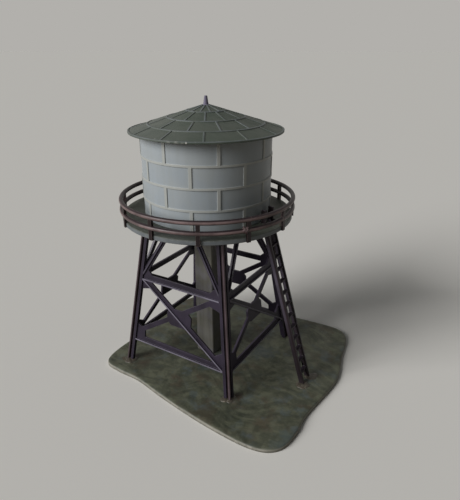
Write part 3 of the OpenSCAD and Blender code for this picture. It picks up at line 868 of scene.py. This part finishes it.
ground_bm = bmesh.new()
tops = [ground_bm.verts.new((p.x, p.y, ground_height(p))) for p in flat_points]
for face in flat_faces:
    ground_bm.faces.new([tops[i] for i in face])
edge_loop = [e for e in ground_bm.edges if e.is_boundary]
wall = bmesh.ops.extrude_edge_only(ground_bm, edges=edge_loop)["geom"]
for vert in [g for g in wall if isinstance(g, bmesh.types.BMVert)]:
    vert.co.z = 0
under = [g for g in wall if isinstance(g, bmesh.types.BMEdge)]
bmesh.ops.contextual_create(ground_bm, geom=[e for e in under if e.is_boundary])
bmesh.ops.recalc_face_normals(ground_bm, faces=ground_bm.faces)
for face in ground_bm.faces:
    face.smooth = abs(face.normal.z) < LEVEL_ENOUGH or len(face.verts) == 3
ground_mesh = bpy.data.meshes.new("moulded_ground")
ground_bm.to_mesh(ground_mesh)
ground_bm.free()
ground = bpy.data.objects.new("moulded_ground", ground_mesh)
bpy.context.scene.collection.objects.link(ground)
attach(ground, "tower")
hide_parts("ground_plate")
highest = max(v.co.z for v in ground_mesh.vertices)
print("ground of", len(ground_mesh.polygons), "faces, up to", round(highest / MM, 2), "mm")

# %% [markdown]
# ### Finish of the ground
# The ground is painted in thin washes: grey-green, brushed in two directions, mottled, with
# brown and bluish patches. One noise alone would look like cloud, so each wash has its own, over
# two layers of strokes. Some stains have a place of their own, such as the brown ones by the feet
# and a bluish wash at the front tip, so they are listed with their places. The two darkest, just
# behind the front feet on the side away from the lamp, are painted shadow as well as stain. The
# rolled edge is painted paler than the top, which is a painted highlight.

# %% Ground finish
# Place and reach of each stain in mm, its strength and its tone; two are painted shadow as well.
STAINS_AND_SHADOWS = [
    (76, -47, 11, 0.55, "#4c5a5c"),
    (31, 11, 10, 0.4, "#47535a"),
    (29, -49, 9, 0.55, "#473f31"),
    (30, -59, 6, 0.45, "#494134"),
    # Painted shadow as well as stain, on the side of each front foot away from the lamp.
    (38.5, -31.3, 4, 0.7, "#38251c"),
    (-33.4, -32.5, 3.6, 0.7, "#38261c"),
    (-37.7, -37.5, 3, 0.6, "#463225"),
    (-24.4, -37.3, 5, 0.4, "#43382c"),
]
# Patches of each wash per metre, their detail, roughness, start and end, strength and tone.
WASHES = [
    (95, 5, 0.62, 0.5, 0.66, 0.65, "#4f4335"),
    (130, 4, 0.6, 0.5, 0.7, 0.65, "#566163"),
    (240, 4, 0.55, 0.4, 0.62, 0.5, "#2f3428"),
    (760, 2, 0.55, 0.6, 0.7, 0.2, "#74766b"),
]


def finish_ground():
    """Two brushed tones under washes, stains and painted shadows, with a paler, painted-highlight
    edge.
    """
    material, tree, shader, moulded = start_plastic(
        "painted_ground", gloss=0.5, spread=0.2, bump=0.6, grain_per_metre=1500)
    brush = place(tree, strokes, Across_X=70, Across_Y=270, Across_Z=60, Sweep=0.05)["Value"]
    body = mix(tree, brush, colour("#33372b"), colour("#636653"))
    crossed = place(tree, strokes, Across_X=240, Across_Y=60, Across_Z=60, Sweep=0.04)["Value"]
    body = tint(tree, body, crossed, 0.5, "#6c6d5b")
    for per_metre, detail, rough, low, high, strength, tone in WASHES:
        wash = place(tree, patches, Per_metre=per_metre, Detail=detail, Roughness=rough,
                     From=low, To=high)["Mask"]
        body = tint(tree, body, wash, strength, tone)
    for x, y, reach, strength, tone in STAINS_AND_SHADOWS:
        stain_and_shadow = place(tree, spot, X=x * MM, Y=y * MM, Z=ground_top, Reach=reach * MM)["Mask"]
        body = tint(tree, body, stain_and_shadow, strength, tone)
    # Painted highlight: the side faces of the rolled edge are paler than the top.
    edge = mix(tree, moulded["Unevenness"], colour("#87857a"), colour("#a5a196"))
    stuck = place(tree, patches, Per_metre=340, From=0.48, To=0.66)["Mask"]
    edge = tint(tree, edge, stuck, 0.6, "#6e6d62")
    top = place(tree, upward, From=0.3, To=0.85)["Mask"]
    feed(tree, shader.inputs["Base Color"], mix(tree, top, edge, body))
    return material


ground_finish = finish_ground()
for mesh in (ground_mesh, nodes["ground_plate"].data):
    mesh.materials.clear()
    mesh.materials.append(ground_finish)
print("ground painted with", len(WASHES), "washes and", len(STAINS_AND_SHADOWS), "stains")

# %% [markdown]
# ## Dried glue
# The feet were stuck down with more glue than they need, and it dried in low dull lumps round
# them, with a few pale specks. A flattened ball would look like a coin. So each lump is a net of
# rings whose reach and height vary with noise. It follows the ground, falls to a ragged edge,
# and goes on a little way under the paint, where a flat face closes it.

# %% Finish of the glue
def finish_glue():
    """Dull brown with grime and a few pale specks."""
    material, tree, shader, moulded = start_plastic(
        "dried_glue", gloss=0.3, spread=0.3, bump=0.5, grain_per_metre=1800)
    body = mix(tree, moulded["Unevenness"], colour("#433f35"), colour("#5a544a"))
    grime = place(tree, patches, Per_metre=700, From=0.4, To=0.62)["Mask"]
    body = tint(tree, body, grime, 0.6, "#463c31")
    speck = place(tree, patches, Per_metre=1100, Detail=2, From=0.64, To=0.7)["Mask"]
    feed(tree, shader.inputs["Base Color"], tint(tree, body, speck, 0.6, "#b9b0a0"))
    return material


glue_finish = finish_glue()

# %% Shape of a lump of glue
GLUE_RINGS = 8
GLUE_STEPS = 48
GLUE_DEEP = 0.5 * MM
GLUE_PROUD = 0.12 * MM
GLUE_SHOULDER = 6
GLUE_PEAK = 0.6
GLUE_RAGGED = 0.45
GLUE_RAGGED_TURN = 1.3
GLUE_LUMP = 1.8 * MM
GLUE_EVEN = 0.7
GLUE_UNEVEN = 0.5


def show_glue(name, bm, finish):
    """Turn a finished lump into a smooth piece that stays with the tower."""
    for face in bm.faces:
        face.smooth = True
    mesh = bpy.data.meshes.new(name)
    bm.to_mesh(mesh)
    bm.free()
    mesh.materials.append(finish)
    piece = bpy.data.objects.new(name, mesh)
    bpy.context.scene.collection.objects.link(piece)
    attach(piece, "tower")


def glue_lump(name, x, y, reach, height, seed):
    """Low closed lump of glue on the ground; place, reach and height in millimetres."""
    bm = bmesh.new()
    middle = Vector((x, y)) * MM
    peak = bm.verts.new((*middle, ground_height(middle) + GLUE_PEAK * height * MM))
    inner = [peak] * GLUE_STEPS
    for k in range(1, GLUE_RINGS + 2):
        part = min(1, k / GLUE_RINGS)
        ring = []
        for i in range(GLUE_STEPS):
            turn = 2 * math.pi * i / GLUE_STEPS
            way = Vector((math.cos(turn), math.sin(turn)))
            bend = Vector((GLUE_RAGGED_TURN * way.x, GLUE_RAGGED_TURN * way.y, seed))
            ragged = 1 + GLUE_RAGGED * noise.noise(bend)
            point = middle + way * (reach * MM * part * ragged)
            wave = noise.noise(Vector((point.x, point.y, seed * MM)) / GLUE_LUMP)
            rise = height * MM * (1 - part ** 2) * (GLUE_EVEN + GLUE_UNEVEN * wave)
            rise += GLUE_PROUD * (1 - part ** GLUE_SHOULDER)
            drop = GLUE_DEEP if k > GLUE_RINGS else 0
            ring.append(bm.verts.new((*point, ground_height(point) + rise - drop)))
        for i in range(GLUE_STEPS):
            j = (i + 1) % GLUE_STEPS
            corners = [inner[i], ring[i], ring[j]] + ([] if k == 1 else [inner[j]])
            bm.faces.new(corners)
        inner = ring
    bm.faces.new(inner[::-1])
    bmesh.ops.triangulate(bm, faces=[f for f in bm.faces if len(f.verts) > 4])
    bmesh.ops.recalc_face_normals(bm, faces=bm.faces)
    show_glue(name, bm, glue_finish)


print("a lump of glue has", GLUE_RINGS + 1, "rings of", GLUE_STEPS, "points")

# %% Lumps of glue round the feet
# The seed shifts the noise, so that no two lumps are alike.
FIRST_SEED = 0.5
# Place, reach and height of each lump in mm.
GLUE_LUMPS = {
    "glue_front_right": (35, -35.3, 3.6, 0.9),
    "glue_front_left": (-34.4, -35.9, 3.8, 0.8),
    "glue_ladder_near": (64.3, -3.7, 3.4, 0.9),
    "glue_ladder_far": (65, 5.4, 3.6, 0.7),
}
for seed, (name, (x, y, reach, height)) in enumerate(GLUE_LUMPS.items()):
    glue_lump(name, x, y, reach, height, seed + FIRST_SEED)
print("glue lumps:", list(GLUE_LUMPS))

# %% [markdown]
# The railing was stuck too, and there the glue hangs as beads: one where the two halves meet a
# post, stained like the rail, and a dull one at a post's foot. A bead is a ball of many small
# faces, pushed in and out by noise and stretched along the rail.

# %% Beads of glue on the railing
BEAD_FINENESS = 4
BEAD_EVEN = 0.8
BEAD_SWELL, BEAD_SWELLS = 0.45, 1.6
BEAD_PIT, BEAD_PITS = 0.15, 4
stained_finish = finish_ironwork("stained_glue", "#3a2a2b", "#5f4a4b", "#7b6a69", "#a89694", 0.3)
# Distance from the axis in mm, turn in degrees, height and reach in mm, and finish.
BEADS = {
    "glue_rail_joint": (46.3, -34.5, 96.4, (2.5, 1.9, 1.9), stained_finish),
    "glue_post_foot": (45.2, -2.4, 92.6, (1.4, 0.9, 0.8), glue_finish),
}


def glue_bead(name, out, turn, height, reach, finish, seed):
    """Lumpy bead on the railing; reach is along the rail, out from it and up, in mm."""
    away = Vector((math.cos(math.radians(turn)), math.sin(math.radians(turn)), 0))
    along = Vector((-away.y, away.x, 0))
    middle = (away * out + Vector((0, 0, height))) * MM
    bm = bmesh.new()
    bmesh.ops.create_icosphere(bm, subdivisions=BEAD_FINENESS, radius=1)
    for vert in bm.verts:
        way = vert.co.normalized()
        swell = BEAD_SWELL * noise.noise(way * BEAD_SWELLS + Vector((0, 0, seed)))
        lumpy = BEAD_EVEN + swell + BEAD_PIT * noise.noise(way * BEAD_PITS)
        part = [way[k] * reach[k] * lumpy * MM for k in range(3)]
        vert.co = middle + along * part[0] + away * part[1] + Vector((0, 0, part[2]))
    bm.normal_update()
    bmesh.ops.recalc_face_normals(bm, faces=bm.faces)
    show_glue(name, bm, finish)


for seed, (name, numbers) in enumerate(BEADS.items()):
    glue_bead(name, *numbers, seed + FIRST_SEED)
print("glue beads:", list(BEADS))
